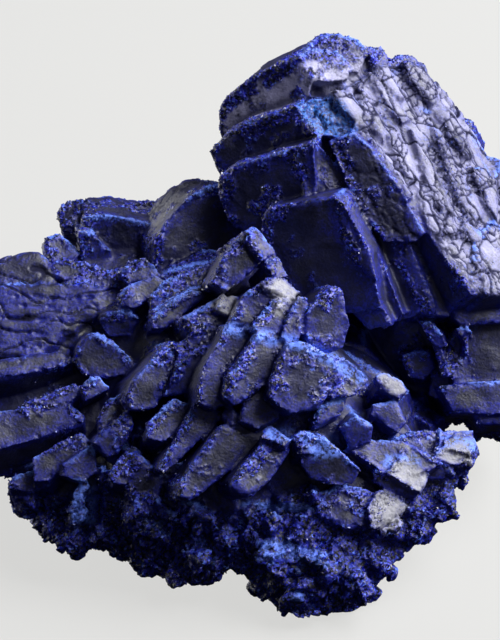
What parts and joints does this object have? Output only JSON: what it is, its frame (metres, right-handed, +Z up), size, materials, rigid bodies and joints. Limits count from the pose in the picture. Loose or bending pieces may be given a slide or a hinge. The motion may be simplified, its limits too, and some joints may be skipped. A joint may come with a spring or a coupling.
{
  "type": "azurite specimen",
  "caption": "Natural cluster of thick tabular azurite blades grown together, with stepped plates, a rough drusy rim and a flat broken base to stand on.",
  "frame": {"origin": "middle of the cluster's box, on the plane of its broken base", "axes": "+Z up from the base, -Y towards the viewer of the display side, +X to the viewer's right"},
  "size_m": [0.0544, 0.0526, 0.0415],
  "materials": {
    "azurite": "satin"
  },
  "bodies": {
    "root": {"azurite_cluster": "azurite"}
  },
  "joints": []
}
